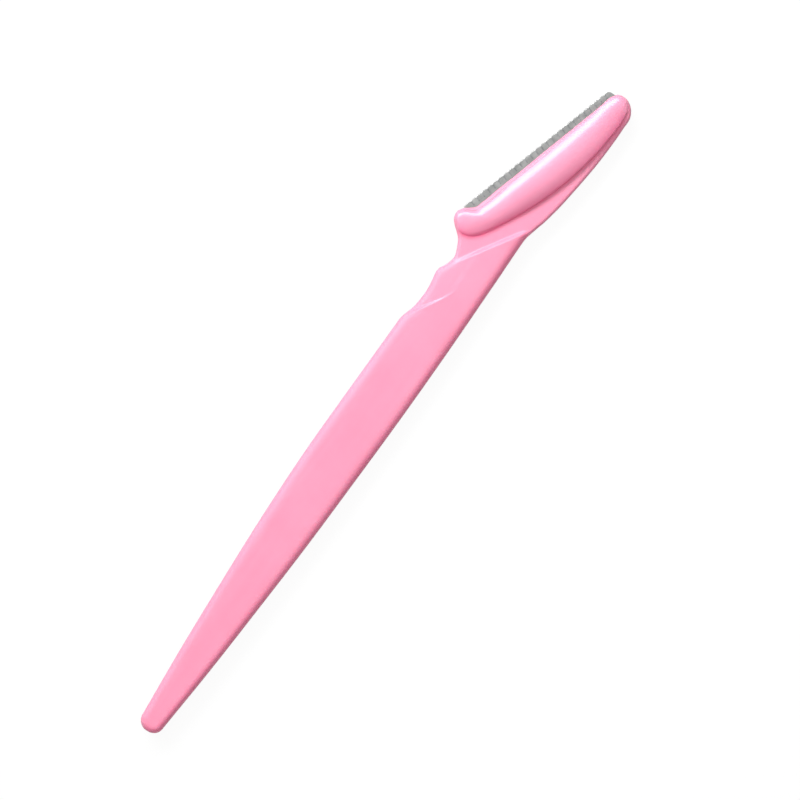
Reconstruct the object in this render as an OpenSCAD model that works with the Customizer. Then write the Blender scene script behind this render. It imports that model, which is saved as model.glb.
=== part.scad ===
// Eyebrow razor: a flat plastic handle with a slanted head that holds a guarded blade.
// It lies on its back, with its length along X and the guard's edge towards +Y.

/* [Grip] */
// Length of the grip, from its tip to the corner of the first ridge
grip_len = 92.2; // [80:0.2:105]
// Greatest width of the grip
grip_w = 11.4; // [10:0.1:12.5]
// Width of the blunt tip
tip_w = 4.6; // [3.6:0.1:6]
// Thickness of the grip
grip_t = 3; // [2.4:0.1:4]
// Width of the rounding along the grip's edges
grip_round = 1.8; // [0.6:0.1:2]

/* [Ridges] */
// Distance between the corners of the two ridges
ridge_pitch = 10.7; // [9:0.1:12.5]
// Depth of the recess behind the first ridge
ridge_dip = 0.4; // [0.2:0.05:0.5]

/* [Head plate] */
// Distance from the second ridge's corner to the start of the guard
neck_len = 12.46; // [11:0.02:14]
// Height of the guard's start above the grip's middle line
head_rise = 7.59; // [6.6:0.01:8.4]
// Angle between the guard's edge and the grip
head_angle = 16.4; // [13:0.1:20]
// Depth of the head, from the guard's edge to the back of the plate
head_w = 12; // [11:0.1:13]
// Thickness of the head plate
plate_t = 1.9; // [1.5:0.1:2.3]
// Width of the rounding along the plate's edges
plate_round = 0.35; // [0.2:0.05:0.5]
// Plastic left beyond the end of the blade
end_wall = 1.4; // [1:0.1:2]

/* [Covers] */
// Height of each cover above the head plate
cover_h = 1.45; // [1.2:0.05:2]
// Diameter of the pegs that lock the covers together
peg_d = 1.6; // [1.2:0.1:1.8]
// Number of pegs
peg_count = 3; // [2:1:4]
// Distance of the pegs from the guard's edge
peg_in = 3.7; // [3.3:0.1:3.9]
// Length of a peg inside the back cover
peg_grip = 0.7; // [0.4:0.05:0.8]

/* [Blade and guard] */
// Length of the guarded edge
edge_len = 35.6; // [32:0.1:39]
// Depth of the blade strip
blade_w = 5.2; // [5:0.1:5.6]
// Thickness of the blade
blade_t = 0.25; // [0.2:0.01:0.3]
// Width of the ground bevel
bevel_w = 0.8; // [0.5:0.1:1.2]
// Thickness of the guard's foil
foil_t = 0.1; // [0.08:0.01:0.15]
// Distance between the slots of the guard
slot_pitch = 1.29; // [1:0.01:1.6]
// Width of one slot of the guard
slot_w = 0.25; // [0.15:0.01:0.35]
// Depth of the slots from the guard's edge
slot_deep = 0.9; // [0.6:0.05:1]
// Distance of the first slot from the guard's start
first_slot = 1.79; // [1.4:0.01:2]

/* [Fits] */
// Clearance between pieces that slide together
fit_gap = 0.03; // [0.02:0.01:0.05]

/* [Hidden] */
$fn = 48;

// How far a cut runs past what it cuts
overrun = 0.5;
// Steps of a rounded edge, and flat strips between two of them
round_steps = 4;
flat_strips = 4;
// Steps of a cover's dome from edge to edge
dome_steps = 12;
// Steps round the tip, and between two rungs of the grip
tip_steps = 5;
grip_steps = 3;

head_len = edge_len + end_wall;
half_t = plate_t / 2 + cover_h;
edge_gap = foil_t + 2 * fit_gap;
pack_t = blade_t + 2 * foil_t + 2 * fit_gap;
// Chamfers at the far end of the blade pack, at the edge and at the back
nose_run = 0.55;
nose_drop = 0.22;
nose_end = 1.25;
back_corner = 1.2;
// The guard's start lies a little inside the hook
pack_start = 0.15;
peg_r = peg_d / 2;
hole_r = peg_r + fit_gap;

// Shares of the tip's width above and below the grip's middle line
tip_up_share = 0.49;
tip_low_share = 0.51;
// Grip edges: place along the grip's length, then upper and lower edge in grip widths
grip_shares = [
    [0.169, 0.300, -0.300],
    [0.332, 0.386, -0.375],
    [0.495, 0.457, -0.434],
    [0.657, 0.496, -0.471],
    [0.820, 0.489, -0.500]
];
// Rungs across the ridges, from the upper to the lower edge. Along: ridge pitches past the grip.
// Across: grip widths. The last share is how much of the recess is left.
ridge_shares = [
    [-0.580, 0.475, 0.355, -0.508, 0],
    [-0.090, 0.470, 1.383, -0.497, 0],
    [0.020, 0.446, 1.757, -0.491, 0],
    [0.093, 0.416, 1.832, -0.490, 1],
    [0.336, 0.373, 2.020, -0.487, 0.75],
    [0.654, 0.380, 2.180, -0.485, 0.4],
    [0.953, 0.419, 2.330, -0.486, 0.1],
    [1.093, 0.382, 2.560, -0.537, 0]
];
// Foot of the second ridge, where the plate starts
foot_shares = [1.196, 0.332, 2.650, -0.557];
// Plate edges: upper along and across, lower along and across, in head lengths and head depths,
// then the steps to the next rung
plate_shares = [
    [-0.196, -0.533, 0.262, -0.993, 1],
    [-0.152, -0.434, 0.284, -0.988, 1],
    [-0.117, -0.322, 0.305, -0.983, 1],
    [-0.103, -0.242, 0.327, -0.976, 1],
    [-0.0865, -0.146, 0.349, -0.969, 1],
    [-0.0676, -0.054, 0.370, -0.962, 1],
    [-0.0324, 0.025, 0.395, -0.952, 1],
    [-0.0054, -0.008, 0.416, -0.942, 1],
    [0.0216, -0.071, 0.438, -0.931, 1],
    [0.0514, -0.133, 0.459, -0.920, 1],
    [0.0865, -0.133, 0.484, -0.907, 2],
    [0.270, -0.1225, 0.562, -0.863, 2],
    [0.486, -0.113, 0.659, -0.805, 2],
    [0.703, -0.104, 0.773, -0.720, 2],
    [0.865, -0.098, 0.881, -0.621, 1],
    [0.951, -0.096, 0.951, -0.535, 1],
    [0.978, -0.146, 0.976, -0.4625, 1],
    [0.993, -0.208, 0.993, -0.375, 1]
];
plate_end_share = [1, -0.283];
// Cover edges: blade side along and across, crease side along and across
cover_shares = [
    [-0.088, -0.1625, -0.089, -0.358],
    [-0.069, -0.067, -0.070, -0.429],
    [-0.034, 0.018, -0.035, -0.500],
    [-0.0095, -0.0125, 0.003, -0.542],
    [0.0095, -0.092, 0.043, -0.571],
    [0.0405, -0.175, 0.089, -0.596],
    [0.0865, -0.192, 0.149, -0.629],
    [0.270, -0.175, 0.297, -0.692],
    [0.540, -0.154, 0.540, -0.708],
    [0.784, -0.133, 0.789, -0.608],
    [0.932, -0.125, 0.919, -0.496],
    [0.976, -0.179, 0.965, -0.421]
];
cover_start_share = [-0.1005, -0.271];
cover_end_share = [0.9905, -0.292];

// Head point from its shares, and its place in the handle's own plane
head_x = grip_len + ridge_pitch + neck_len;
function head_point(s) = [s[0] * head_len, s[1] * head_w];
function turned(p) = [
    head_x + p[0] * cos(head_angle) + p[1] * sin(head_angle),
    head_rise - p[0] * sin(head_angle) + p[1] * cos(head_angle)
];
function ridge_point(a, b) = [grip_len + a * ridge_pitch, b * grip_w];

// Smooth curve through points: tangents follow the distances between neighbours
function chord(p, i) = norm(p[i + 1] - p[i]);
function tangent(p, i) =
    i == 0 ? (p[1] - p[0]) / chord(p, 0) :
    i == len(p) - 1 ? (p[i] - p[i - 1]) / chord(p, i - 1) :
    let(a = chord(p, i - 1), b = chord(p, i))
    ((p[i + 1] - p[i]) * a / b + (p[i] - p[i - 1]) * b / a) / (a + b);
function along(p, i, t) =
    let(d = chord(p, i), t2 = t * t, t3 = t2 * t)
    p[i] * (2 * t3 - 3 * t2 + 1) + p[i + 1] * (3 * t2 - 2 * t3)
    + tangent(p, i) * d * (t3 - 2 * t2 + t) + tangent(p, i + 1) * d * (t3 - t2);
function part_way(a, b, t) = a + (b - a) * t;
// Height of a rounded edge at a distance d inside it
function rounded(d, r) = sqrt(1 - pow(1 - min(d, r) / r, 2));
function cross_2d(a, b) = abs(a[0] * b[1] - a[1] * b[0]);

// A knot is [upper point, lower point, half thickness, recess, rounding, steps to the next]
tip_r = tip_w / 2;
// The grip is drawn a little thick, and its two flat faces are then cut to its true thickness
crown = 0.05;
crown_half = grip_t / 2 + crown;
knots = concat(
    [[[tip_r, tip_up_share * tip_w], [tip_r, -tip_low_share * tip_w],
        crown_half, 0, grip_round, grip_steps]],
    [for (s = grip_shares) [[s[0] * grip_len, s[1] * grip_w], [s[0] * grip_len, s[2] * grip_w],
        crown_half, 0, grip_round, grip_steps]],
    [for (s = ridge_shares) [ridge_point(s[0], s[1]), ridge_point(s[2], s[3]),
        crown_half, s[4] * (ridge_dip + crown), grip_round, 1]],
    [[ridge_point(foot_shares[0], foot_shares[1]), ridge_point(foot_shares[2], foot_shares[3]),
        plate_t / 2, 0, plate_round, 1]],
    [for (s = plate_shares) [turned(head_point([s[0], s[1]])), turned(head_point([s[2], s[3]])),
        plate_t / 2, 0, plate_round, s[4]]]
);
handle_upper = [for (k = knots) k[0]];
handle_lower = [for (k = knots) k[1]];
handle_end = turned(head_point(plate_end_share));

// A rung is [upper point, lower point, half thickness, recess, rounding]
tip_rungs = [for (k = [1:tip_steps - 1]) let(a = 90 * k / tip_steps, e = tip_r * (1 - cos(a)))
    [[e, tip_up_share * tip_w * sin(a)], [e, -tip_low_share * tip_w * sin(a)],
    crown_half * rounded(e, grip_round), 0, grip_round]];
body_rungs = [for (i = [0:len(knots) - 2]) for (j = [0:knots[i][5] - 1]) let(t = j / knots[i][5])
    [along(handle_upper, i, t), along(handle_lower, i, t), part_way(knots[i][2], knots[i + 1][2], t),
    part_way(knots[i][3], knots[i + 1][3], t), part_way(knots[i][4], knots[i + 1][4], t)]];
last_knot = knots[len(knots) - 1];
last_half = last_knot[2] * rounded(norm((last_knot[0] + last_knot[1]) / 2 - handle_end), plate_round);
handle_rungs = concat(tip_rungs, body_rungs, [[last_knot[0], last_knot[1], last_half, 0, plate_round]]);

// Outline of the handle, and the middle of the box that it fills
outline = concat([[0, 0]], [for (r = handle_rungs) r[0]], [for (r = handle_rungs) r[1]], [handle_end]);
box_low = [min([for (p = outline) p[0]]), min([for (p = outline) p[1]])];
box_high = [max([for (p = outline) p[0]]), max([for (p = outline) p[1]])];
box_mid = (box_low + box_high) / 2;

// The recess fades out towards the lower edge
fade_start_share = 0.5;
function fade(v) = let(t = max(0, (v - fade_start_share) / (1 - fade_start_share))) t * t * (3 - 2 * t);

// Width of rung i square to the edge through points p
function square_width(r, i, p) =
    let(a = p[max(i - 1, 0)], b = p[min(i + 1, len(p) - 1)])
    cross_2d(r[i][0] - r[i][1], b - a) / norm(b - a);

// Places across rung i, each with its share of the half thickness. A rounding takes less than half.
most_share = 0.45;
function places(r, i, uppers, lowers) =
    let(wl = square_width(r, i, lowers), wu = square_width(r, i, uppers),
        el = min(r[i][4] / wl, most_share), eu = min(r[i][4] / wu, most_share))
    concat(
        [for (k = [0:round_steps]) let(a = 90 * k / round_steps) [el * (1 - cos(a)), sin(a)]],
        [for (k = [1:flat_strips - 1]) [part_way(el, 1 - eu, k / flat_strips), 1]],
        [for (k = [round_steps:-1:0]) let(a = 90 * k / round_steps) [1 - eu * (1 - cos(a)), sin(a)]]
    );
function surface_point(r, q, side) =
    let(p = part_way(r[1], r[0], q[0]))
    [p[0], p[1], side * q[1] * (r[2] - r[3] * fade(q[0]))];
// Closed ring: front face from the lower to the upper edge, then back along the back face
function handle_ring(r, i, uppers, lowers) =
    let(q = places(r, i, uppers, lowers), n = len(q))
    concat([for (k = [0:n - 1]) surface_point(r[i], q[k], 1)],
        [for (k = [n - 2:-1:1]) surface_point(r[i], q[k], -1)]);

// Solid through closed rings of equal count, with a point at each end
module skin(start, rings, end) {
    m = len(rings[0]);
    n = len(rings);
    points = concat([start], [for (r = rings) each r], [end]);
    last = len(points) - 1;
    faces = concat(
        [for (j = [0:m - 1]) [0, 1 + (j + 1) % m, 1 + j]],
        [for (i = [0:n - 2]) for (j = [0:m - 1]) let(a = 1 + i * m + j, d = 1 + i * m + (j + 1) % m)
            [a, d, d + m]],
        [for (i = [0:n - 2]) for (j = [0:m - 1]) let(a = 1 + i * m + j, d = 1 + i * m + (j + 1) % m)
            [a, d + m, a + m]],
        [for (j = [0:m - 1]) [1 + (n - 1) * m + j, 1 + (n - 1) * m + (j + 1) % m, last]]
    );
    polyhedron(points, faces);
}

// Everything is drawn about the middle of the head plate and set down on its back
module set_down() {
    translate([-box_mid[0], -box_mid[1], half_t]) children();
}
module on_head() {
    translate([head_x, head_rise, 0]) rotate([0, 0, -head_angle]) children();
}

// Plan of the blade pack, grown by g: straight edge, chamfered nose and chamfered back corner
module pack_plan(t, g) {
    translate([0, 0, -t / 2]) linear_extrude(height = t) polygon([
        [pack_start - g, g],
        [edge_len - nose_end - nose_run, g],
        [edge_len - nose_run, g - nose_drop],
        [edge_len + g, -nose_end],
        [edge_len + g, back_corner - blade_w],
        [edge_len - back_corner, -blade_w - g],
        [pack_start - g, -blade_w - g]
    ]);
}

// Cylinders at the pegs' places, between two heights
peg_step = edge_len / peg_count;
module at_pegs(r, low, high) {
    for (i = [0:peg_count - 1])
        translate([peg_step * (i + 1 / 2), -peg_in, low]) cylinder(r = r, h = high - low);
}

// Slab as thick as the grip, past the outline all round
module grip_slab() {
    translate([box_low[0] - overrun, box_low[1] - overrun, -grip_t / 2])
        cube([box_high[0] - box_low[0] + 2 * overrun, box_high[1] - box_low[1] + 2 * overrun, grip_t]);
}

module handle() {
    uppers = [for (r = handle_rungs) r[0]];
    lowers = [for (r = handle_rungs) r[1]];
    n = len(handle_rungs);
    color("lightpink") set_down() difference() {
        intersection() {
            skin([0, 0, 0], [for (i = [0:n - 1]) handle_ring(handle_rungs, i, uppers, lowers)],
                [handle_end[0], handle_end[1], 0]);
            grip_slab();
        }
        on_head() pack_plan(pack_t + 2 * fit_gap, fit_gap);
        on_head() at_pegs(hole_r, -plate_t / 2 - overrun, plate_t / 2 + overrun);
    }
}

// Cover dome: a ring runs over the dome from the crease side to the blade side
cover_upper = concat([head_point(cover_start_share)],
    [for (s = cover_shares) head_point([s[0], s[1]])], [head_point(cover_end_share)]);
cover_lower = concat([head_point(cover_start_share)],
    [for (s = cover_shares) head_point([s[2], s[3]])], [head_point(cover_end_share)]);
cover_start = head_point(cover_start_share);
cover_end = head_point(cover_end_share);
// Distance over which the dome rises from its ends
dome_run = head_w / 4;
function dome_ring(u, l) =
    let(e = min(norm((u + l) / 2 - cover_start), norm((u + l) / 2 - cover_end)),
        h = cover_h * rounded(e, dome_run))
    [for (k = [0:dome_steps]) let(a = 180 * k / dome_steps, p = part_way(l, u, (1 - cos(a)) / 2))
        [p[0], p[1], plate_t / 2 + h * sin(a)]];
module dome() {
    spans = len(cover_upper) - 1;
    rings = [for (i = [0:spans - 1]) for (t = i == 0 ? [0.5] : [0, 0.5])
        dome_ring(along(cover_upper, i, t), along(cover_lower, i, t))];
    skin([cover_start[0], cover_start[1], plate_t / 2], rings, [cover_end[0], cover_end[1], plate_t / 2]);
}

module front_cover() {
    color("hotpink") set_down() on_head() union() {
        dome();
        at_pegs(peg_r, -plate_t / 2 - peg_grip + fit_gap, plate_t / 2 + peg_grip);
    }
}

module back_cover() {
    color("hotpink") set_down() on_head() difference() {
        mirror([0, 0, 1]) dome();
        at_pegs(hole_r, -plate_t / 2 - peg_grip, -plate_t / 2 + overrun);
    }
}

// Slots of the guard
slot_count = floor((edge_len - nose_run - first_slot) / slot_pitch) + 1;
module guard_slots() {
    for (i = [0:slot_count - 1])
        translate([first_slot + i * slot_pitch - slot_w / 2, -slot_deep, -pack_t])
            cube([slot_w, slot_deep + overrun, 2 * pack_t]);
}
// Strip with a round edge: thickness t, edge at -inset, running back past the pack
module round_strip(t, inset) {
    back = blade_w + overrun;
    translate([pack_start - overrun, -back, -t / 2])
        cube([edge_len + 2 * overrun, back - inset - t / 2, t]);
    translate([pack_start - overrun, -inset - t / 2, 0]) rotate([0, 90, 0])
        cylinder(d = t, h = edge_len + 2 * overrun);
}

module guard() {
    color("silver") set_down() on_head() difference() {
        intersection() {
            pack_plan(pack_t + overrun, 0);
            union() round_strip(pack_t, 0);
        }
        union() round_strip(pack_t - 2 * foil_t, foil_t);
        guard_slots();
        at_pegs(hole_r, -pack_t, pack_t);
    }
}

module blade() {
    section = [
        [-edge_gap, 0],
        [-edge_gap - bevel_w, blade_t / 2],
        [-blade_w, blade_t / 2],
        [-blade_w, -blade_t / 2],
        [-edge_gap - bevel_w, -blade_t / 2]
    ];
    color("gainsboro") set_down() on_head() difference() {
        intersection() {
            pack_plan(pack_t, -fit_gap);
            rotate([90, 0, 90]) linear_extrude(height = edge_len + overrun) polygon(section);
        }
        at_pegs(hole_r, -pack_t, pack_t);
    }
}

handle();
front_cover();
back_cover();
guard();
blade();
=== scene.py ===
"""Eyebrow razor: the finished surfaces of every piece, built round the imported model."""
import math

import bmesh
import bpy
import numpy as np
from mathutils import Matrix, Vector


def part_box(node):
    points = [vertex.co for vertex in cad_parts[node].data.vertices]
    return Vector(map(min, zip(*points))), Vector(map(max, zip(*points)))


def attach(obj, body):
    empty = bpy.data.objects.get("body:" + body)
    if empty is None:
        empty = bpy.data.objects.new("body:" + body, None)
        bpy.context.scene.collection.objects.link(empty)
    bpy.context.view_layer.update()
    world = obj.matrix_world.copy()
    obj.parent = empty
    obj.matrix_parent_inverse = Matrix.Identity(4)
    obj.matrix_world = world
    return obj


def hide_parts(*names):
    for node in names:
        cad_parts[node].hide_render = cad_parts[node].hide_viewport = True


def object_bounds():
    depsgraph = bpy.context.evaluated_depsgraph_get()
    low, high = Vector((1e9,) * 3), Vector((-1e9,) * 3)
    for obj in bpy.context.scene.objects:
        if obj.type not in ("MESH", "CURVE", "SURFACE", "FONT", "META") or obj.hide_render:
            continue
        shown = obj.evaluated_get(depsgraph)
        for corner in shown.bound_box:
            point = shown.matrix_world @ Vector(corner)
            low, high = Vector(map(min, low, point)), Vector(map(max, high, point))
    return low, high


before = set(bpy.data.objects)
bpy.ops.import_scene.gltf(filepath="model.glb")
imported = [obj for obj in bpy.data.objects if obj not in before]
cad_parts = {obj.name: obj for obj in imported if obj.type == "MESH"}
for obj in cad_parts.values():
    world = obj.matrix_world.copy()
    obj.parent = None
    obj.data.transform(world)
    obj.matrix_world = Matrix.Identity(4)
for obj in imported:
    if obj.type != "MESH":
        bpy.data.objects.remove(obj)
cad_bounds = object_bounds()

# Sizes. The tables below are in millimetres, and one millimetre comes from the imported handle.
HANDLE_LENGTH = 149.9
handle_low, handle_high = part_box("handle")
MM = (handle_high.x - handle_low.x) / HANDLE_LENGTH
# Tip of the handle, on the middle plane: the point that the tables start from
handle_points = [v.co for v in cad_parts["handle"].data.vertices]
tip = min(handle_points, key=lambda co: co.x)
TIP = Vector((tip.x, tip.y, (handle_low.z + handle_high.z) / 2))

# Half thicknesses of the grip and of the head plate, and how high a cover's top stands over the plate
GRIP_HALF = (handle_high.z - handle_low.z) / 2 / MM
PLATE_HALF = 0.95
COVER_RISE = (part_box("front_cover")[1].z - TIP.z) / MM - PLATE_HALF
# Plate behind the covers: half its thickness, the distance over which that rises to their seat, the power
# of the rise, and the two places along the head between which it rises at the far end
FIN_HALF = 0.66
SEAT_RISE = 1.4
SEAT_POWER = 3
FIN_END = (33.8, 36.2)
# Width of the rounded edges: at the tip and growing from there to the grip's widest place, on the neck's
# upper side, on the plate, and on its land beside the guard
TIP_ROUND = 1.55
GRIP_ROUND = 2.5
GRIP_WIDEST = 60.0
NECK_ROUND = 1.8
PLATE_ROUND = 0.95
LAND_ROUND = 1.5
# Where the neck's width sets in: distances past the first ridge, and places across the grip
NECK_PAST_RIDGE = (-1, 1)
NECK_ACROSS = (0, 2)
# Where the land's width sets in, along and across the guard's edge
LAND_ALONG = (-0.4, 2.0)
LAND_ACROSS = (-4, -3)
# Power of the curve of the handle's edges. 2 is a circle, and more leaves the flat face more softly
EDGE_POWER = 3
# Moulding line round the edge: how far the fine bead stands out, and half its thickness
BEAD_OUT = 0.02
BEAD_HALF = 0.05

# Start of the guard's edge in the handle's plane, and the angle of that edge below the grip's line
HEAD_START = (115.36, 7.59)
HEAD_ANGLE = math.radians(16.4)

# Radius of the round tip, and the power of its lower corner, which below 1 is fuller than a circle
TIP_RADIUS = 2.3
TIP_FULL = 0.88
# Edges of the grip: along, upper, lower
GRIP_EDGES = [
    (2.3, 2.25, -2.5), (15.6, 3.38, -3.48), (30.6, 4.37, -4.3),
    (45.6, 5.18, -5.0), (60.6, 5.6, -5.42), (75.6, 5.5, -5.74),
]
# Pairs of edge points across the ridges: upper x, y and lower x, y
RIDGE_EDGES = [
    (86.0, 5.38, 96.0, -5.79), (89.6, 5.33, 104.0, -5.7), (91.6, 5.29, 108.6, -5.65),
    (92.4, 5.1, 110.6, -5.61), (93.4, 4.78, 111.9, -5.59), (94.6, 4.46, 112.9, -5.57),
    (96.6, 4.25, 114.2, -5.55), (99.2, 4.25, 115.53, -5.53), (101.2, 4.56, 116.6, -5.53),
    (102.6, 4.78, 117.6, -5.62), (103.4, 4.66, 118.5, -5.84), (104.4, 4.18, 119.6, -6.12),
    (105.4, 3.76, 120.5, -6.34),
]
# Pairs of edge points on the plate, along and across the guard's edge
PLATE_EDGES = [
    (-7.25, -6.34, 9.7, -11.92), (-5.62, -5.21, 10.5, -11.86), (-4.33, -3.86, 11.29, -11.8),
    (-3.84, -2.85, 12.1, -11.71), (-3.28, -1.5, 12.91, -11.63), (-2.5, -0.42, 13.69, -11.54),
    (-1.3, 0.08, 14.62, -11.42), (-0.2, -0.15, 15.39, -11.3), (0.9, -0.42, 16.21, -11.17),
    (2.1, -0.75, 16.98, -11.04), (4.0, -1.05, 17.91, -10.88), (6.2, -1.34, 19.1, -10.67),
    (9.99, -1.45, 20.79, -10.36),
    (17.98, -1.36, 24.38, -9.66), (26.01, -1.31, 28.6, -8.62), (32.0, -1.28, 32.7, -7.42),
    (35.2, -1.25, 35.35, -6.45), (36.2, -1.72, 36.33, -5.4), (36.68, -2.5, 36.78, -4.4),
]
PLATE_END = (36.9, -3.4)
# Notch of the plate's edge at the start of the guard, and the steps between its points
NOTCH_EDGE = [(-0.2, -0.15), (0.8, -0.85), (1.85, -1.52), (3.2, -1.6), (7.6, -1.49)]
NOTCH_COUNTS = (10, 12, 12, 20)
# The plate's points before and after the notch, towards which its ends run
BEFORE_NOTCH = PLATE_EDGES[6][:2]
AFTER_NOTCH = PLATE_EDGES[12][:2]
# Depth that the rounded edge still has where the notch cuts it
NOTCH_LIP = 0.15

# Middle lines of the two ridges' slopes, in the handle's plane
FIRST_RIDGE = [
    (90.0, 6.35), (92.95, 4.5), (94.83, 3.4), (96.83, 2.2), (98.93, 0.94), (101.25, -0.2), (104.0, -1.4),
]
SECOND_RIDGE = [
    (99.95, 6.68), (104.05, 4.13), (110.95, -0.14), (116.85, -3.83), (117.85, -4.55), (118.35, -5.4),
    (118.55, -6.8),
]
# Widths of the slopes, and the share of them by which a softened corner reaches to either side
FIRST_SLOPE = 0.42
SECOND_SLOPE = 0.7
RIDGE_SOFT = 0.3
# How much smoother each ridge's slope is rubbed, and the distances from its line between which that fades
RUBBED = (0.24, 0.2)
RUBBED_REACH = (0.15, 0.5)
# Places across the grip between which the rub of the first ridge sets in
RUBBED_FADE = (-0.4, 1.6)
# Recess between the ridges: its floor bends down from this place across the grip, this much at 1 mm past
RECESS_FROM = -1.6
RECESS_BEND = 0.014
# The floor also steps down by this much between these two places across the grip
RECESS_STEP = 0.07
RECESS_STEP_AT = (-0.4, 0.9)
# The plate is thicker at the foot of the second ridge, and thins over this distance
NECK_EXTRA = 0.2
NECK_TAPER = 5.0

# Edges of a cover: pairs of points along and across the guard's edge, blade side and crease side
COVER_EDGES = [
    (-3.06, -1.75, -3.06, -4.35), (-2.46, -0.6, -2.42, -5.2), (-1.34, -0.08, -1.25, -6.0),
    (-0.42, -0.38, 0.11, -6.5), (0.34, -1.1, 1.59, -6.85), (1.4, -2.0, 3.29, -7.15),
    (3.2, -2.22, 5.51, -7.55), (9.99, -2.02, 10.99, -8.3), (19.98, -1.8, 19.98, -8.5),
    (29.01, -1.58, 29.19, -7.3), (34.3, -1.5, 34.0, -5.98), (36.0, -2.15, 35.75, -5.1),
]
COVER_START = (-3.42, -3.25)
COVER_END = (36.64, -3.45)
# A cover's section: how far its top falls towards the blade side, and towards the crease side at the two
# places along the head
BLADE_FALL = 0.78
CREASE_FALL = (0.77, 0.6)
FALL_PLACES = (8.0, 30.0)
# Where the section's rounded foot starts, as a share of its half width, on the hook and beyond it, and
# the two places along the head between which that changes
FOOT_FROM = (0.72, 0.92)
FOOT_PLACES = (-1.0, 4.0)
# The covers sit this deep in the faces of the plate, with this gap round them
REBATE = 0.08
REBATE_GAP = 0.05
# Pegs that lock the covers through the plate: places along the guard's edge, distance behind it, radius,
# reach into a cover past the plate's face, and clearance in their holes
PEG_PLACES = (5.93, 17.8, 29.67)
PEG_IN = 3.7
PEG_RADIUS = 0.8
PEG_GRIP = 0.35
FIT_GAP = 0.03

# The covers' crease runs on past their far end by this much, along and across
CREASE_PAST_END = (1.0, 0.2)
# Share of painted shade, a deep saturated pink, near the crease, against the distance past it towards the
# covers
CREASE_PAINTED_SHADE = [
    (-0.8, 0.0), (-0.45, 0.12), (-0.2, 0.4), (0.0, 0.75), (0.25, 0.7), (0.6, 0.42), (1.3, 0.16),
    (2.3, 0.06), (3.0, 0.0),
]
# The painted shade fades out between these two places along the head, and up the hook's back between these
# two
#  values of across less along
PAINTED_SHADE_END = (33.0, 36.0)
PAINTED_SHADE_START = (-0.9, 1.2)
# Painted shade along the grip's lower edge: how deep, and the distances from the edge between which it
# fades
LOWER_EDGE_PAINTED_SHADE = 0.35
LOWER_EDGE_SHADE_DEPTHS = (0.5, 1.6)

# Slot of the plate that takes the guard: plan along and across the guard's edge, and half its thickness
SLOT_PLAN = [
    (0.12, 0.03), (33.8, 0.03), (35.05, -0.19), (35.63, -1.25), (35.63, -4.0), (34.4, -5.23), (0.12, -5.23),
]
SLOT_HALF = 0.285

# How far a cutting shape reaches past what it cuts, and the spare length at each end of the guard's strip
CUT_PAST = 1.0
STRIP_SPARE = 0.5
# Guard: half its thickness, the foil's thickness, how far the fold stands out past the line of the edge,
# the depth of the fold's curve, and the line of the foil's two edges inside the plate
GUARD_HALF = 0.255
FOIL = 0.1
FOLD_AT = 0.05
FOLD_DEEP = 0.13
GUARD_BACK = -5.2
GUARD_PLAN = [
    (0.15, CUT_PAST), (33.7, CUT_PAST), (33.7, 0.05), (34.4, 0.02), (34.95, -0.12), (35.32, -0.42),
    (35.6, -1.25), (35.6, -4.0), (34.4, GUARD_BACK), (0.15, GUARD_BACK),
]
# Slots of the guard: first place, distance, how many, width, depth and the radius of their open corners
FIRST_SLOT = 1.87
SLOT_PITCH = 1.288
SLOT_COUNT = 26
SLOT_WIDTH = 0.28
SLOT_DEEP = 1.12
SLOT_CORNER = 0.25
# How far the slots' cutter reaches past the fold
SLOT_PAST = 0.3


class Wire:
    """A value in a material. Arithmetic on it adds Math nodes."""

    def __init__(self, finish, socket):
        self.finish = finish
        self.socket = socket

    def maths(self, operation, first, second):
        return self.finish.node("ShaderNodeMath", {"operation": operation}, {0: first, 1: second})

    def __add__(self, other):
        return self.maths("ADD", self, other)

    def __radd__(self, other):
        return self.maths("ADD", other, self)

    def __sub__(self, other):
        return self.maths("SUBTRACT", self, other)

    def __rsub__(self, other):
        return self.maths("SUBTRACT", other, self)

    def __mul__(self, other):
        return self.maths("MULTIPLY", self, other)

    def __rmul__(self, other):
        return self.maths("MULTIPLY", other, self)


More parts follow.
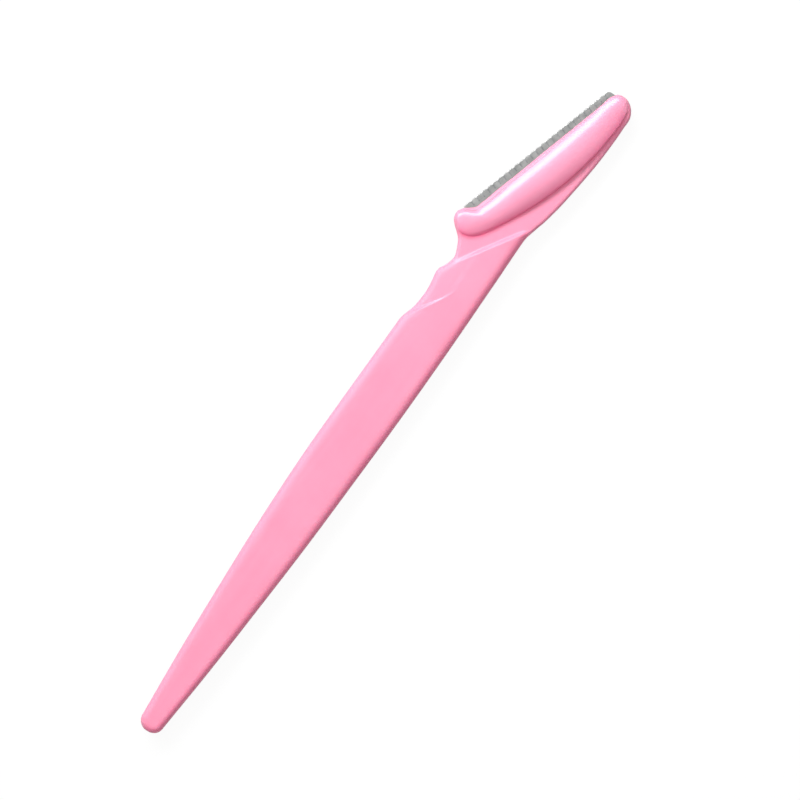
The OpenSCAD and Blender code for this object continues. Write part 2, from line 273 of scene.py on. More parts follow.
class Finish:
    """A material's nodes, or the world's, wired from values."""

    def __init__(self, owner):
        owner.use_nodes = True
        self.owner = owner
        self.tree = owner.node_tree
        self.tree.nodes.clear()

    def node(self, kind, settings, inputs, output=0):
        made = self.tree.nodes.new(kind)
        for name, value in settings.items():
            setattr(made, name, value)
        for name, value in inputs.items():
            if isinstance(value, Wire):
                self.tree.links.new(value.socket, made.inputs[name])
            else:
                made.inputs[name].default_value = value
        return Wire(self, made.outputs[output]) if len(made.outputs) else made

    def place(self):
        """Each point's own place, in metres."""
        return self.node("ShaderNodeTexCoord", {}, {}, "Object")

    def attribute(self, name):
        """A piece's own value at each point, 0 on a piece without it."""
        return self.node("ShaderNodeAttribute", {"attribute_name": name}, {}, "Fac")

    def noise(self, where, cell, detail=2.0, roughness=0.5):
        """Noise between 0 and 1 with patches about one cell wide."""
        return self.node("ShaderNodeTexNoise", {},
                         {"Vector": where, "Scale": 1 / cell, "Detail": detail, "Roughness": roughness})

    def stretched(self, where, shares, turn=0.0):
        """Place with each axis scaled by its share, so that a grain runs along the smallest."""
        return self.node("ShaderNodeMapping", {"vector_type": "TEXTURE"}, {
            "Vector": where, "Rotation": (0.0, 0.0, turn), "Scale": tuple(1 / share for share in shares),
        })

    def scuffs(self, where, turn):
        """Sparse hair-thin marks, all in one direction, 1 on a mark and 0 beside it."""
        lines = self.noise(self.stretched(where, (0.04, 1.0, 1.0), turn), cell=0.22 * MM, detail=1.0)
        return self.between(lines, 0.69, 0.75)

    def between(self, value, low, high):
        """Smooth rise from 0 to 1 as the value goes from low to high."""
        return self.node("ShaderNodeMapRange", {"interpolation_type": "SMOOTHSTEP"},
                         {"Value": value, "From Min": low, "From Max": high})

    def mix(self, share, first, second):
        return self.node("ShaderNodeMix", {"data_type": "RGBA"}, {0: share, 6: first, 7: second}, 2)

    def bump(self, height, distance, before=None):
        """Relief from heights of 0 to 1, this deep, laid over the relief before it."""
        inputs = {"Height": height, "Distance": distance, "Strength": 1.0}
        if before is not None:
            inputs["Normal"] = before
        return self.node("ShaderNodeBump", {}, inputs)

    def surface(self, shader):
        self.node("ShaderNodeOutputMaterial", {}, {"Surface": shader})
        return self.owner


def colour(red, green, blue):
    return (red, green, blue, 1.0)


# The plastic's two tones on the handle and on the covers, and the deep pink painted in as shade near the
# crease and the grip's lower edge
HANDLE_PINKS = (colour(0.875, 0.287, 0.425), colour(0.905, 0.313, 0.455))
COVER_PINKS = (colour(0.862, 0.294, 0.443), colour(0.892, 0.32, 0.473))
PAINTED_SHADE_PINK = colour(0.98, 0.16, 0.335)


def pink_plastic(name, pinks, roughness, polish, grain_cell, grain_height):
    """Moulded pink plastic: faint flow clouds, fine grain, light handling marks, and painted shade pink
    where the crease attribute is set.
    """
    finish = Finish(bpy.data.materials.new(name))
    where = finish.place()
    clouds = finish.noise(where, cell=9 * MM, detail=3.0)
    flow = finish.noise(finish.stretched(where, (0.12, 1.0, 1.0)), cell=2.2 * MM)
    tone = finish.between(clouds * 0.6 + flow * 0.4, 0.32, 0.68)
    # Painted shade: the crease attribute blends in a deep pink near the crease and along the grip's lower
    # edge
    base = finish.mix(finish.attribute("crease"), finish.mix(tone, *pinks), PAINTED_SHADE_PINK)
    rub = finish.between(finish.noise(where, cell=1.6 * MM, detail=4.0, roughness=0.62), 0.42, 0.7)
    scuffs = finish.scuffs(where, turn=0.35) * rub + finish.scuffs(where, turn=2.1)
    gloss = roughness - finish.attribute("rubbed") + 0.06 * rub + 0.05 * (flow - 0.5) + 0.1 * scuffs
    waves = finish.bump(finish.noise(where, cell=1.3 * MM, detail=1.0), 0.006 * MM)
    pores = finish.noise(where, cell=grain_cell, detail=3.0, roughness=0.6)
    grain = finish.bump(pores, grain_height, before=waves)
    marks = finish.bump(scuffs, -0.002 * MM, before=grain)
    return finish.surface(finish.node("ShaderNodeBsdfPrincipled", {}, {
        "Base Color": base, "Roughness": gloss, "Normal": marks,
        "IOR": 1.5, "Specular IOR Level": 0.4,
        "Coat Weight": polish, "Coat Roughness": 0.24, "Coat IOR": 1.5,
        "Subsurface Weight": 0.15, "Subsurface Radius": (1.0, 0.3, 0.4), "Subsurface Scale": 0.4 * MM,
    }))


def rolled_steel(name, greys, grain_turn, roughness, scratch_depth):
    """Thin rolled strip: fine parallel grain, dull patches and small scratches."""
    finish = Finish(bpy.data.materials.new(name))
    where = finish.place()
    rolled = finish.stretched(where, (0.05, 1.0, 1.0), grain_turn)
    grain = finish.noise(rolled, cell=0.12 * MM, detail=3.0, roughness=0.6)
    patches = finish.noise(where, cell=1.1 * MM, detail=3.0)
    base = finish.mix(finish.between(0.5 * grain + 0.5 * patches, 0.3, 0.7), *greys)
    gloss = roughness + 0.12 * (grain - 0.5) + 0.1 * finish.between(patches, 0.35, 0.75)
    return finish.surface(finish.node("ShaderNodeBsdfPrincipled", {}, {
        "Base Color": base, "Roughness": gloss, "Normal": finish.bump(grain, scratch_depth),
        "Metallic": 1.0,
    }))


def bright_steel(grain_turn):
    greys = (colour(0.25, 0.255, 0.26), colour(0.33, 0.335, 0.34))
    return rolled_steel("bright_steel", greys, grain_turn, roughness=0.3, scratch_depth=0.002 * MM)


def foil_steel(grain_turn):
    greys = (colour(0.35, 0.355, 0.35), colour(0.44, 0.445, 0.44))
    return rolled_steel("foil_steel", greys, grain_turn, roughness=0.36, scratch_depth=0.004 * MM)


def on_head(points):
    """Points along and across the guard's edge, in the handle's plane."""
    points = np.asarray(points, float)
    along, across = points[..., 0], points[..., 1]
    cos, sin = math.cos(HEAD_ANGLE), math.sin(HEAD_ANGLE)
    x = HEAD_START[0] + along * cos + across * sin
    y = HEAD_START[1] - along * sin + across * cos
    return np.stack([x, y], axis=-1)


def from_head(points):
    """Places along and across the guard's edge of points in the handle's plane."""
    cos, sin = math.cos(HEAD_ANGLE), math.sin(HEAD_ANGLE)
    x, y = points[:, 0] - HEAD_START[0], points[:, 1] - HEAD_START[1]
    return x * cos - y * sin, x * sin + y * cos


def in_frame(points):
    """Points in millimetres from the tip, in the frame's metres."""
    return np.asarray(points, float) * MM + np.array(TIP)


def smooth_edge(knots, counts, before=None, after=None):
    """Points of the smooth curve through the knots. Neighbours past the ends set the end directions."""
    knots = np.asarray(knots, float)
    spans = len(counts)
    first = 0
    if before is not None:
        knots = np.vstack([before, knots])
        first = 1
    if after is not None:
        knots = np.vstack([knots, after])
    steps = np.diff(knots, axis=0)
    chords = np.linalg.norm(steps, axis=1)[:, None]
    directions = np.empty_like(knots)
    directions[0] = steps[0] / chords[0]
    directions[-1] = steps[-1] / chords[-1]
    back, ahead = chords[:-1], chords[1:]
    directions[1:-1] = (steps[1:] * back / ahead + steps[:-1] * ahead / back) / (back + ahead)
    samples = []
    for span in range(first, first + spans):
        t = np.linspace(0, 1, counts[span - first], endpoint=False)[:, None]
        samples.append(
            knots[span] * (2 * t**3 - 3 * t**2 + 1) + knots[span + 1] * (3 * t**2 - 2 * t**3)
            + directions[span] * chords[span] * (t**3 - 2 * t**2 + t)
            + directions[span + 1] * chords[span] * (t**3 - t**2))
    samples.append(knots[first + spans][None])
    return np.vstack(samples)


def distance_to(line, points):
    """Distance from each point to a line of short straight pieces."""
    starts, steps = line[:-1], np.diff(line, axis=0)
    squares = (steps**2).sum(1)
    found = np.empty(len(points))
    block = 2000
    for first in range(0, len(points), block):
        gap = points[first:first + block, None] - starts
        t = np.clip((gap * steps).sum(2) / squares, 0, 1)[..., None]
        found[first:first + block] = np.linalg.norm(gap - t * steps, axis=2).min(1)
    return found


def past_line(line, points):
    """Signed distance past a ridge's line, positive towards the head."""
    line = np.asarray(line, float)
    crossing = np.interp(-points[:, 1], -line[:, 1], line[:, 0])
    return np.where(points[:, 0] > crossing, 1, -1) * distance_to(line, points)


def smooth_step(t):
    t = np.clip(t, 0, 1)
    return t * t * (3 - 2 * t)


def ramp(t, soft):
    """Straight rise from 0 to 1 as t goes from 0 to 1, with both corners softened."""
    def area(u):
        return np.where(u < 0, 0, np.where(u < 1, u * u / 2, u - 0.5))
    return (area(t + soft) - area(t - soft)) / (2 * soft)


def between(low, high, values):
    return smooth_step((values - low) / (high - low))


def part_way(first, second, share):
    return first + (second - first) * share


def on_plate(points):
    """0 on the grip, 1 on the plate, and between them on the second ridge's slope."""
    return ramp(past_line(SECOND_RIDGE, points) / SECOND_SLOPE + 0.5, RIDGE_SOFT)


def past_crease(points):
    """Signed distance past the covers' crease, positive towards the guard's edge."""
    start, grid, end = cover_grid()
    crease = np.vstack([start, grid[:, 0], end, end + CREASE_PAST_END])
    blade_side = np.vstack([start, grid[:, -1]])
    hook = blade_side[:np.argmax(blade_side[:, 1]) + 1]
    gap = distance_to(on_head(np.vstack([hook[:0:-1], crease])), points)
    along, across = from_head(points)
    behind_hook = (along < hook[-1, 0]) & (across > np.interp(along, *hook.T))
    past = (along > start[0]) & (across > np.interp(along, *crease.T)) & ~behind_hook
    return np.where(past, gap, -gap)


def painted_crease_shade(points):
    """Share of painted shade pink at each point, near the covers' crease and along the grip's lower edge.
    """
    along, across = from_head(points)
    shown = (1 - between(*PAINTED_SHADE_END, along)) * (1 - between(*PAINTED_SHADE_START, across - along))
    crease = np.interp(past_crease(points), *np.transpose(CREASE_PAINTED_SHADE)) * shown
    from_edge = distance_to(handle_edges()[1], points)
    edge = LOWER_EDGE_PAINTED_SHADE * (1 - between(*LOWER_EDGE_SHADE_DEPTHS, from_edge)) * (1 - on_plate(points))
    return np.maximum(crease, edge)


def rubbed_smooth(points):
    """How much smoother the slopes of the two ridges are rubbed."""
    first, second = (
        share * (1 - between(*RUBBED_REACH, np.abs(past_line(ridge, points))))
        for share, ridge in zip(RUBBED, (FIRST_RIDGE, SECOND_RIDGE)))
    return np.maximum(first * between(*RUBBED_FADE, points[:, 1]), second)


def half_thickness(points):
    across = points[:, 1]
    past_first = past_line(FIRST_RIDGE, points)
    past_second = past_line(SECOND_RIDGE, points)
    floor = RECESS_BEND * np.maximum(across - RECESS_FROM, 0)**2
    floor = floor + RECESS_STEP * between(*RECESS_STEP_AT, across)
    dip = floor * ramp(past_first / FIRST_SLOPE + 0.5, RIDGE_SOFT)
    near_cover = np.clip(1 + past_crease(points) / SEAT_RISE, 0, 1)**SEAT_POWER
    near_cover = np.maximum(near_cover, between(*FIN_END, from_head(points)[0]))
    plate_half = part_way(FIN_HALF, PLATE_HALF, near_cover)
    plate_half = plate_half + NECK_EXTRA * (1 - between(0, NECK_TAPER, past_second)) * (1 - near_cover)
    return part_way(GRIP_HALF - dip, plate_half, on_plate(points))


def edge_round(points):
    """Width of the rounded edge near each point."""
    grip = part_way(TIP_ROUND, GRIP_ROUND, between(0, GRIP_WIDEST, points[:, 0]))
    neck = between(*NECK_PAST_RIDGE, past_line(FIRST_RIDGE, points)) * between(*NECK_ACROSS, points[:, 1])
    grip = part_way(grip, NECK_ROUND, neck)
    along, across = from_head(points)
    land = between(*LAND_ALONG, along) * between(*LAND_ACROSS, across)
    return part_way(grip, part_way(PLATE_ROUND, LAND_ROUND, land), on_plate(points))


def rounded(depth, width, power=2):
    """Share of the full height at a depth inside a rounded edge of this width."""
    return np.sqrt(1 - (1 - np.clip(depth / width, 0, 1))**power)


# Points closer than this, in millimetres, are merged, and edges that turn by more than this stay sharp
SAME_POINT = 0.0001
SHARP_ANGLE = math.radians(34)


def mesh_object(name, points, faces, material=None):
    """Closed mesh in millimetres from the tip, with its faces outwards."""
    mesh = bpy.data.meshes.new(name)
    mesh.from_pydata([tuple(p) for p in points], [], [tuple(int(i) for i in f) for f in faces])
    face_outwards(mesh)
    if material is not None:
        mesh.materials.append(material)
    made = bpy.data.objects.new(name, mesh)
    bpy.context.scene.collection.objects.link(made)
    return made


def face_outwards(mesh):
    work = bmesh.new()
    work.from_mesh(mesh)
    bmesh.ops.remove_doubles(work, verts=work.verts, dist=SAME_POINT)
    bmesh.ops.recalc_face_normals(work, faces=work.faces)
    work.to_mesh(mesh)
    work.free()


def ring_faces(rings, count, start, end):
    """Faces of a skin through closed rings of equal count, with a point at each end."""
    faces = []
    for j in range(count):
        after = (j + 1) % count
        faces.append((start, 1 + after, 1 + j))
        for i in range(rings - 1):
            low, high = 1 + i * count, 1 + (i + 1) * count
            faces.append((low + j, low + after, high + after, high + j))
        last = 1 + (rings - 1) * count
        faces.append((last + j, last + after, end))
    return faces


# Distance between the rungs of the handle's skin on the grip, over the ridges and on the head
GRIP_STEP = 0.9
RIDGE_STEP = 0.16
HEAD_STEP = 0.28
# Steps round the tip, over a rounded edge, and across the flat between the rounded edges
TIP_STEPS = 14
ROUND_STEPS = 11
FLAT_STRIPS = 56
# A rounded edge takes up at most this share of a rung
ROUND_SHARE = 0.46


def longer_spans(first, second):
    """Distances between the points of two lines, the longer one of each pair."""
    spans = [np.linalg.norm(np.diff(line, axis=0), axis=1) for line in (first, second)]
    return np.maximum(*spans)


def handle_edges():
    """Upper and lower ends of every rung, from the tip to the far end of the plate."""
    grip, ridges, plate = np.array(GRIP_EDGES), np.array(RIDGE_EDGES), np.array(PLATE_EDGES)
    upper = np.vstack([grip[:, :2], ridges[:, :2], on_head(plate[:, :2]), on_head(PLATE_END)])
    lower = np.vstack([grip[:, ::2], ridges[:, 2:], on_head(plate[:, 2:]), on_head(PLATE_END)])
    steps = np.repeat([GRIP_STEP, RIDGE_STEP, HEAD_STEP], [len(grip), len(ridges), len(plate)])
    counts = [max(2, math.ceil(span / step)) for span, step in zip(longer_spans(upper, lower), steps)]
    upper_edge = smooth_edge(upper, counts, after=lower[-2])[:-1]
    lower_edge = smooth_edge(lower, counts, after=upper[-2])[:-1]
    turn = np.linspace(0, math.pi / 2, TIP_STEPS, endpoint=False)[1:]
    sin, cos = np.sin(turn), np.cos(turn)
    upper_tip = np.column_stack([TIP_RADIUS * (1 - cos), GRIP_EDGES[0][1] * sin])
    lower_tip = np.column_stack([TIP_RADIUS * (1 - cos**TIP_FULL), GRIP_EDGES[0][2] * sin**TIP_FULL])
    return np.vstack([upper_tip, upper_edge]), np.vstack([lower_tip, lower_edge])


def square_widths(upper, lower, edge):
    """Width of each rung square to the given edge."""
    run = np.gradient(edge, axis=0)
    run /= np.linalg.norm(run, axis=1)[:, None]
    across = upper - lower
    return np.abs(across[:, 0] * run[:, 1] - across[:, 1] * run[:, 0])


def rung_shares(upper, lower):
    """Places across every rung, from its lower end to its upper end, closer on the rounded edges."""
    low_width, high_width = (
        np.minimum(edge_round(edge) / square_widths(upper, lower, edge), ROUND_SHARE)[:, None]
        for edge in (lower, upper))
    curve = 1 - np.cos(np.linspace(0, math.pi / 2, ROUND_STEPS + 1))
    flat = np.linspace(0, 1, FLAT_STRIPS + 1)[1:-1]
    middle = low_width + (1 - high_width - low_width) * flat
    return np.hstack([low_width * curve, middle, 1 - high_width * curve[::-1]])


def notch_edge():
    """Edge of the notch along and across the guard's edge."""
    return smooth_edge(NOTCH_EDGE, NOTCH_COUNTS, before=BEFORE_NOTCH, after=AFTER_NOTCH)


def handle_skin():
    """Points and faces of the handle before its cuts."""
    upper, lower = handle_edges()
    start, end = np.zeros(2), on_head(PLATE_END)
    outline = np.vstack([start, upper, end, lower[::-1], start])
    shares = rung_shares(upper, lower)[..., None]
    plan = lower[:, None] + shares * (upper - lower)[:, None]
    rungs, across = plan.shape[:2]
    flat_plan = plan.reshape(-1, 2)
    notch = notch_edge()
    along, side = from_head(flat_plan)
    outside = (along > notch[0, 0]) & (along < notch[-1, 0]) & (side > np.interp(along, *notch.T))
    lip = NOTCH_LIP + np.where(outside, 0, distance_to(on_head(notch), flat_plan))
    depth = np.minimum(distance_to(outline, flat_plan), lip)
    height = half_thickness(flat_plan) * rounded(depth - BEAD_OUT, edge_round(flat_plan), EDGE_POWER)
    height = np.maximum(height, BEAD_HALF).reshape(rungs, across)
    height[:, 0] = 0
    height[:, -1] = 0
    front = np.dstack([plan, height])
    back = np.dstack([plan, -height])[:, -2:0:-1]
    rings = np.concatenate([front, back], axis=1)
    count = rings.shape[1]
    points = np.vstack([[(0, 0, 0)], rings.reshape(-1, 3), [(*end, 0)]])
    return points, ring_faces(rungs, count, 0, len(points) - 1)


def prism(name, first, second, material=None):
    """Straight piece between two outlines with equal counts of points."""
    count = len(first)
    faces = [tuple(range(count))[::-1], tuple(range(count, 2 * count))]
    faces += [(i, (i + 1) % count, count + (i + 1) % count, count + i) for i in range(count)]
    return mesh_object(name, first + second, faces, material)


def head_prism(name, plan, low, high):
    """Upright prism over a plan along and across the guard's edge."""
    return prism(name, *([(*corner, z) for corner in on_head(plan)] for z in (low, high)))


def round_plan(place, radius, sides=40):
    turn = np.linspace(0, 2 * math.pi, sides, endpoint=False)
    return [(place[0] + radius * math.cos(a), place[1] + radius * math.sin(a)) for a in turn]


def combine(made, others, operation):
    """Cuts the others from a piece, or joins them to it, and removes them."""
    for other in others:
        step = made.modifiers.new("combine", "BOOLEAN")
        step.operation = operation
        step.solver = "MANIFOLD"
        step.object = other
    evaluated = made.evaluated_get(bpy.context.evaluated_depsgraph_get())
    mesh = bpy.data.meshes.new_from_object(evaluated)
    made.modifiers.clear()
    made.data = mesh
    for other in others:
        bpy.data.objects.remove(other)


def mark(made, name, rule):
    """Writes a rule's value at each point of a piece that is still in millimetres from the tip."""
    points = np.array([v.co for v in made.data.vertices])
    layer = made.data.attributes.new(name, "FLOAT", "POINT")
    layer.data.foreach_set("value", rule(points[:, :2]))


def finish_piece(made, node):
    """Sets a finished piece down in the frame in place of its node."""
    made.data.transform(Matrix.Translation(TIP) @ Matrix.Scale(MM, 4))
    made.data.shade_smooth()
    made.data.set_sharp_from_angle(angle=SHARP_ANGLE)
    made.name = node + "_finished"
    made.data.name = made.name
    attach(made, "root")
    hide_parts(node)


def peg_prisms(name, gap, low, high):
    """Round prisms at the pegs' places, wider than a peg by a gap all round."""
    plans = [round_plan((along, -PEG_IN), PEG_RADIUS + gap) for along in PEG_PLACES]
    return [head_prism(name, plan, low, high) for plan in plans]


def make_handle(material):
    made = mesh_object("handle_skin", *handle_skin(), material)
    past = 2 * PLATE_HALF
    notch = np.vstack([notch_edge(), [(NOTCH_EDGE[-1][0], CUT_PAST), (NOTCH_EDGE[0][0], CUT_PAST)]])
    seat = cover_foot(REBATE_GAP)
    combine(made, [
        head_prism("blade_slot", SLOT_PLAN, -SLOT_HALF, SLOT_HALF),
        head_prism("notch", notch, -past, past),
        *peg_prisms("peg_hole", FIT_GAP, -past, past),
        head_prism("front_rebate", seat, PLATE_HALF - REBATE, past),
        head_prism("back_rebate", seat, -past, REBATE - PLATE_HALF),
    ], "DIFFERENCE")
    # Share of painted shade pink near the crease and along the grip's lower edge, kept at each point
    mark(made, "crease", painted_crease_shade)
    mark(made, "rubbed", rubbed_smooth)
    finish_piece(made, "handle")


# Distance between a cover's rungs, and strips across it
COVER_STEP = 0.22
DOME_STRIPS = 56
# The sum that blows up a cover's skin ends at this share of its first error, or after this many rounds
PILLOW_REST = 1e-12
PILLOW_ROUNDS = 3000


def cover_grid():
    """Plan of a cover as rungs from its crease side to its blade side, and its two end points."""
    table = np.array(COVER_EDGES)
    start, end = np.array(COVER_START), np.array(COVER_END)
    blade_side = np.vstack([start, table[:, :2], end])
    crease_side = np.vstack([start, table[:, 2:], end])
    counts = [max(3, math.ceil(span / COVER_STEP)) for span in longer_spans(blade_side, crease_side)]
    high = smooth_edge(blade_side, counts, before=crease_side[1], after=crease_side[-2])[1:-1]
    low = smooth_edge(crease_side, counts, before=blade_side[1], after=blade_side[-2])[1:-1]
    turn = np.linspace(0, math.pi, DOME_STRIPS + 1)
    shares = ((1 - np.cos(turn)) / 2)[:, None]
    return start, low[:, None] + shares * (high - low)[:, None], end


def cover_foot(gap):
    """Outline of a cover's foot along and across the guard's edge, grown by a gap."""
    start, grid, end = cover_grid()
    ring = np.vstack([start[None], grid[:, 0], end[None], grid[::-1, -1]])
    run = np.roll(ring, -1, axis=0) - np.roll(ring, 1, axis=0)
    run /= np.linalg.norm(run, axis=1)[:, None]
    return ring + gap * np.stack([run[:, 1], -run[:, 0]], axis=1)


def triangles(faces):
    """Three-cornered faces of a list of faces with three or four corners."""
    split = [f[:3] for f in faces]
    split += [(f[0], f[2], f[3]) for f in faces if len(f) == 4]
    return np.array(split)


def pillow(plan, faces, inner):
    """Height of a skin blown up evenly from the plan, 0 along its edge and 1 at its highest."""
    corners = triangles(faces)
    pairs, weights = [], []
    load = np.zeros(len(plan))
    for k in range(3):
        a, b, c = corners[:, k], corners[:, (k + 1) % 3], corners[:, (k + 2) % 3]
        to_b, to_c = plan[b] - plan[a], plan[c] - plan[a]
        twice_area = np.abs(to_b[:, 0] * to_c[:, 1] - to_b[:, 1] * to_c[:, 0])
        pairs.append(np.stack([b, c], axis=1))
        weights.append((to_b * to_c).sum(1) / (2 * twice_area))
        load += np.bincount(a, twice_area / 6, len(plan))
    first, second = np.vstack(pairs).T
    weight = np.concatenate(weights)

    def pull(values):
        flow = weight * (values[first] - values[second])
        total = np.bincount(first, flow, len(plan)) - np.bincount(second, flow, len(plan))
        return np.where(inner, total, 0)

    # Conjugate gradients find the heights at which the skin's pull holds the load
    values = np.zeros(len(plan))
    rest = np.where(inner, load, 0)
    way = rest.copy()
    size = rest @ rest
    target = size * PILLOW_REST
    for _ in range(PILLOW_ROUNDS):
        pulled = pull(way)
        share = size / (way @ pulled)
        values += share * way
        rest -= share * pulled
        new_size = rest @ rest
        way = rest + way * new_size / size
        size = new_size
        if size < target:
            break
    return np.sqrt(np.maximum(values, 0) / values.max())


def cover_section(along, count):
    """Heights across a cover at places along it, from its crease side to its blade side, 1 at the top."""
    t = -np.cos(np.linspace(0, math.pi, count))
    crease_fall = part_way(*CREASE_FALL, between(*FALL_PLACES, along))[:, None]
    foot_from = part_way(*FOOT_FROM, between(*FOOT_PLACES, along))[:, None]
    return (1 - np.where(t < 0, crease_fall, BLADE_FALL) * t * t) * rounded(1 - np.abs(t), 1 - foot_from)


def cover_shell(side):
    """Dome over the plan with a flat underside. side is 1 for the front cover and -1 for the back one."""
    start, grid, end = cover_grid()
    rungs, across = grid.shape[:2]
    plan = np.vstack([start[None], grid.reshape(-1, 2), end[None]])
    last = len(plan) - 1
    dome = []
    for j in range(across - 1):
        dome.append((0, 1 + j, 2 + j))
        for i in range(rungs - 1):
            a = 1 + i * across + j
            dome.append((a, a + across, a + across + 1, a + 1))
        a = 1 + (rungs - 1) * across + j
        dome.append((a, last, a + 1))
    inner = np.ones(len(plan), bool)
    inner[[0, last]] = False
    inner[1:last].reshape(rungs, across)[:, [0, -1]] = False
    swell = pillow(plan, dome, inner)[1:last].reshape(rungs, across).max(1)
    section = cover_section(grid[:, across // 2, 0], across)
    top = PLATE_HALF - REBATE + (COVER_RISE + REBATE) * swell[:, None] * section
    foot = PLATE_HALF - REBATE
    heights = np.concatenate([[foot], top.ravel(), [foot]])
    points = np.column_stack([on_head(plan), side * heights])
    rim_low = [1 + i * across for i in range(rungs)]
    rim_high = [across + i * across for i in range(rungs)]
    under = [(0, rim_high[0], rim_low[0])]
    under += [(rim_low[i], rim_high[i], rim_high[i + 1], rim_low[i + 1]) for i in range(rungs - 1)]
    under.append((rim_low[-1], rim_high[-1], last))
    return points, dome + under


def make_front_cover(material):
    made = mesh_object("front_cover_skin", *cover_shell(1), material)
    deep = PLATE_HALF + PEG_GRIP
    combine(made, peg_prisms("peg", 0, FIT_GAP - deep, deep), "UNION")
    # Share of painted shade pink near the crease, kept at each point
    mark(made, "crease", painted_crease_shade)
    finish_piece(made, "front_cover")


def make_back_cover(material):
    made = mesh_object("back_cover_skin", *cover_shell(-1), material)
    combine(made, peg_prisms("socket", FIT_GAP, -PLATE_HALF - PEG_GRIP, 0), "DIFFERENCE")
    # Share of painted shade pink near the crease, kept at each point
    mark(made, "crease", painted_crease_shade)
    finish_piece(made, "back_cover")


# Points round the guard's fold, and round each corner of a slot
FOLD_POINTS = 17
CORNER_POINTS = 7


def guard_section():
    """Section of the folded foil across the guard: outer face round the fold, then the inner face back."""
    turn = np.linspace(math.pi / 2, -math.pi / 2, FOLD_POINTS)

    def face(skin):
        half, deep = GUARD_HALF - skin, FOLD_DEEP - skin / 2
        fold = [(FOLD_AT - skin - deep + deep * math.cos(a), half * math.sin(a)) for a in turn]
        return [(GUARD_BACK, half)] + fold + [(GUARD_BACK, -half)]

    return face(0) + face(FOIL)[::-1]


def slot_plan():
    """Plan of one slot about its middle line, wider at its mouth."""
    half = SLOT_WIDTH / 2
    turn = np.linspace(0, math.pi / 2, CORNER_POINTS)
    bottom = [(half * math.cos(a), -SLOT_DEEP + half * (1 - math.sin(a))) for a in turn[::-1]]
    mouth = [(half + SLOT_CORNER * (1 - math.cos(a)), FOLD_AT - SLOT_CORNER * (1 - math.sin(a)))
             for a in turn]
    side = bottom + mouth + [(half + SLOT_CORNER, FOLD_AT + SLOT_PAST)]
    return side + [(-s, n) for s, n in side[::-1][:-1]]


def slot_tree():
    """Copies one slot's cutter along the guard's edge."""
    tree = bpy.data.node_groups.new("slot_row", "GeometryNodeTree")
    sizes = [("Cutter", "NodeSocketObject"), ("Slots", "NodeSocketInt"), ("First slot", "NodeSocketFloat"),
             ("Pitch", "NodeSocketFloat"), ("Finish", "NodeSocketMaterial")]
    for name, kind in [("Geometry", "NodeSocketGeometry")] + sizes:
        tree.interface.new_socket(name, in_out="INPUT", socket_type=kind)
    tree.interface.new_socket("Geometry", in_out="OUTPUT", socket_type="NodeSocketGeometry")
    given = tree.nodes.new("NodeGroupInput")
    result = tree.nodes.new("NodeGroupOutput")
    start = tree.nodes.new("ShaderNodeCombineXYZ")
    step = tree.nodes.new("ShaderNodeCombineXYZ")
    line = tree.nodes.new("GeometryNodeMeshLine")
    cutter = tree.nodes.new("GeometryNodeObjectInfo")
    copies = tree.nodes.new("GeometryNodeInstanceOnPoints")
    solid = tree.nodes.new("GeometryNodeRealizeInstances")
    paint = tree.nodes.new("GeometryNodeSetMaterial")
    for source, socket, target, place in [
        (given, "First slot", start, "X"), (given, "Pitch", step, "X"), (given, "Slots", line, "Count"),
        (start, "Vector", line, "Start Location"), (step, "Vector", line, "Offset"),
        (given, "Cutter", cutter, "Object"), (line, "Mesh", copies, "Points"),
        (cutter, "Geometry", copies, "Instance"), (copies, "Instances", solid, "Geometry"),
        (solid, "Geometry", paint, "Geometry"), (given, "Finish", paint, "Material"),
        (paint, "Geometry", result, "Geometry"),
    ]:
        tree.links.new(source.outputs[socket], target.inputs[place])
    return tree


def slot_row(material):
    """All slots of the guard as one cutter."""
    past = 2 * GUARD_HALF
    cutter = prism("slot_cutter", *([(*corner, z) for corner in slot_plan()] for z in (-past, past)))
    row = mesh_object("slot_row", [], [])
    tree = slot_tree()
    rule = row.modifiers.new("slot_row", "NODES")
    rule.node_group = tree
    values = {"Cutter": cutter, "Slots": SLOT_COUNT, "First slot": FIRST_SLOT, "Pitch": SLOT_PITCH,
              "Finish": material}
    for item in tree.interface.items_tree:
        if item.name in values:
            rule[item.identifier] = values[item.name]
    mesh = bpy.data.meshes.new_from_object(row.evaluated_get(bpy.context.evaluated_depsgraph_get()))
    row.modifiers.clear()
    row.data = mesh
    mesh.transform(Matrix.Translation((*HEAD_START, 0)) @ Matrix.Rotation(-HEAD_ANGLE, 4, "Z"))
    bpy.data.objects.remove(cutter)
    return row


def make_guard(material):
    places = [along for along, across in GUARD_PLAN]
    ends = (min(places) - STRIP_SPARE, max(places) + STRIP_SPARE)
    outlines = ([(*on_head((along, across)), z) for across, z in guard_section()] for along in ends)
    made = prism("guard_strip", *outlines, material)
    combine(made, [head_prism("guard_plan", GUARD_PLAN, -CUT_PAST, CUT_PAST)], "INTERSECT")
    holes = peg_prisms("peg_hole", FIT_GAP, -CUT_PAST, CUT_PAST)
    combine(made, holes + [slot_row(material)], "DIFFERENCE")
    finish_piece(made, "guard")


def finish_blade(material):
    """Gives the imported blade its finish."""
    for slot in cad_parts["blade"].material_slots:
        slot.material = material


# Watts that give a square metre of softbox a radiance of 1
SOFTBOX_WATTS = 4


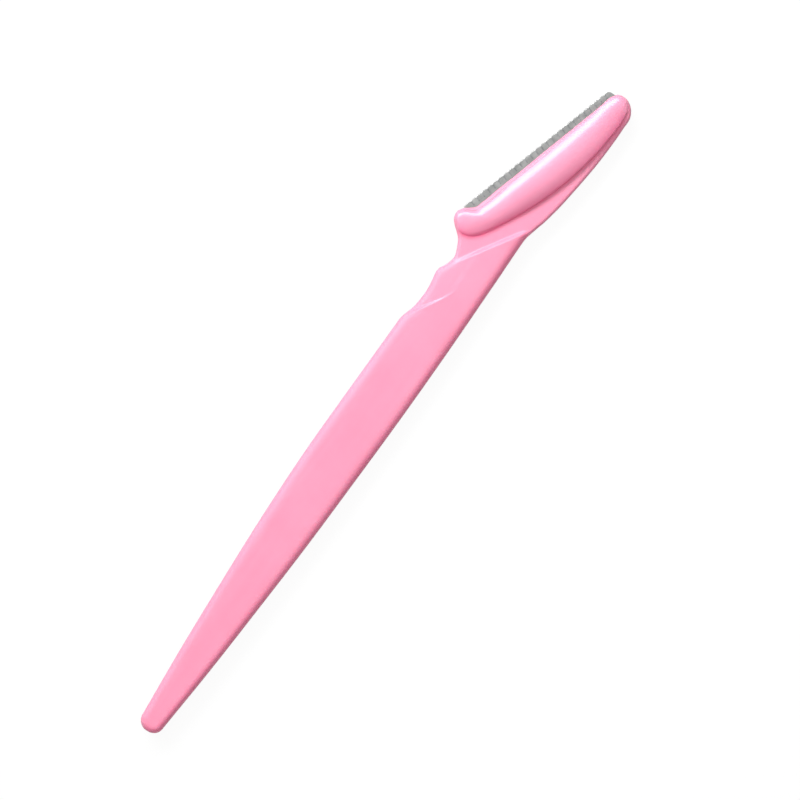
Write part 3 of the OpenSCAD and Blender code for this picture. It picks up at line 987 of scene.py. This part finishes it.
def soft_light(name, target, azimuth, elevation, distance, size, radiance, mirrored=True):
    """Rectangular softbox that faces a point, in metres. Azimuth 0 is along +X and 90 along +Y."""
    lamp = bpy.data.lights.new(name, "AREA")
    lamp.shape = "RECTANGLE"
    lamp.size, lamp.size_y = size
    lamp.energy = SOFTBOX_WATTS * size[0] * size[1] * radiance
    made = bpy.data.objects.new(name, lamp)
    a, e = math.radians(azimuth), math.radians(elevation)
    away = Vector((math.cos(a) * math.cos(e), math.sin(a) * math.cos(e), math.sin(e)))
    made.location = target + away * distance
    made.rotation_mode = "QUATERNION"
    made.rotation_quaternion = away.to_track_quat("Z", "Y")
    made.visible_glossy = mirrored
    bpy.context.scene.collection.objects.link(made)


# Grey of the surroundings and of the floor where they light the object, and the share of the white floor
# that takes its shadow
SURROUND = 0.28
FLOOR_GREY = 0.5
SHADOW_SHARE = 0.07
# Heights of the sky, 1 overhead and 0 level, between which its reflection goes from the grey to white
OVERHEAD = (0.3, 0.85)
# Half the side of the floor in metres, and its gap below the object
FLOOR_HALF_SIDE = 1.5
FLOOR_GAP = 0.01 * MM


def seen_directly(finish):
    """1 for what the camera, a reflection or a clear view meets, else 0."""
    camera, glossy, clear = (
        finish.node("ShaderNodeLightPath", {}, {}, f"Is {kind} Ray")
        for kind in ("Camera", "Glossy", "Transmission"))
    return finish.node("ShaderNodeMath", {"operation": "ADD", "use_clamp": True},
                       {0: camera, 1: glossy + clear})


def make_floor():
    mesh = bpy.data.meshes.new("floor")
    side, height = FLOOR_HALF_SIDE, cad_bounds[0].z - FLOOR_GAP
    corners = [(-side, -side, height), (side, -side, height), (side, side, height), (-side, side, height)]
    mesh.from_pydata(corners, [], [(0, 1, 2, 3)])
    floor = bpy.data.objects.new("floor", mesh)
    bpy.context.scene.collection.objects.link(floor)
    finish = Finish(bpy.data.materials.new("pale_floor"))
    grey = finish.node("ShaderNodeBsdfDiffuse", {}, {"Color": colour(FLOOR_GREY, FLOOR_GREY, FLOOR_GREY)})
    white = finish.node("ShaderNodeEmission", {}, {"Strength": 1.0})
    matt = finish.node("ShaderNodeBsdfDiffuse", {}, {"Color": colour(1.0, 1.0, 1.0)})
    shown = finish.node("ShaderNodeMixShader", {}, {0: SHADOW_SHARE, 1: white, 2: matt})
    mesh.materials.append(finish.surface(
        finish.node("ShaderNodeMixShader", {}, {0: seen_directly(finish), 1: grey, 2: shown})))


def make_world():
    world = bpy.data.worlds.new("studio")
    bpy.context.scene.world = world
    finish = Finish(world)
    camera_ray = finish.node("ShaderNodeLightPath", {}, {}, "Is Camera Ray")
    direction = finish.node("ShaderNodeTexCoord", {}, {}, "Generated")
    height = finish.node("ShaderNodeSeparateXYZ", {}, {0: direction}, "Z")
    white = finish.node("ShaderNodeMath", {"operation": "MAXIMUM"},
                        {0: camera_ray, 1: finish.between(height, *OVERHEAD)})
    strength = SURROUND + (1 - SURROUND) * (seen_directly(finish) * white)
    finish.node("ShaderNodeOutputWorld", {},
                {"Surface": finish.node("ShaderNodeBackground", {}, {"Strength": strength})})


# Camera: looks straight down, with the photograph's turn, and its width and middle on the grip's face
LENS = 200.0
SENSOR = 36.0
VIEW_TURN = math.radians(-55)
VIEW_WIDTH = 150.94
VIEW_MIDDLE = (78.66, -3.57)


def make_camera():
    data = bpy.data.cameras.new("camera")
    data.lens = LENS
    data.sensor_width = SENSOR
    data.clip_start = 0.01
    data.clip_end = 10.0
    camera = bpy.data.objects.new("camera", data)
    height = VIEW_WIDTH * LENS / SENSOR + GRIP_HALF
    camera.location = in_frame((*VIEW_MIDDLE, height))
    camera.rotation_euler = (0.0, 0.0, VIEW_TURN)
    bpy.context.scene.collection.objects.link(camera)
    bpy.context.scene.camera = camera


def make_lights():
    head = Vector(in_frame((HEAD_START[0], 0.0, 0.0)))
    middle = Vector(in_frame((VIEW_MIDDLE[0], 0.0, 0.0)))
    soft_light("window_softbox", head, azimuth=66, elevation=38, distance=0.5,
               size=(0.54, 0.18), radiance=9.6)
    soft_light("top_softbox", middle, azimuth=80, elevation=88, distance=1.2,
               size=(1.6, 1.6), radiance=0.765, mirrored=False)


make_camera()
make_world()
make_floor()
make_lights()

satin = pink_plastic("satin_pink_plastic", HANDLE_PINKS, roughness=0.48, polish=0.0,
                     grain_cell=0.16 * MM, grain_height=0.012 * MM)
glossy = pink_plastic("glossy_pink_plastic", COVER_PINKS, roughness=0.46, polish=0.85,
                      grain_cell=0.3 * MM, grain_height=0.003 * MM)
make_handle(satin)
make_front_cover(glossy)
make_back_cover(glossy)
make_guard(foil_steel(-HEAD_ANGLE))
finish_blade(bright_steel(-HEAD_ANGLE))

bpy.context.scene.view_settings.view_transform = "Standard"
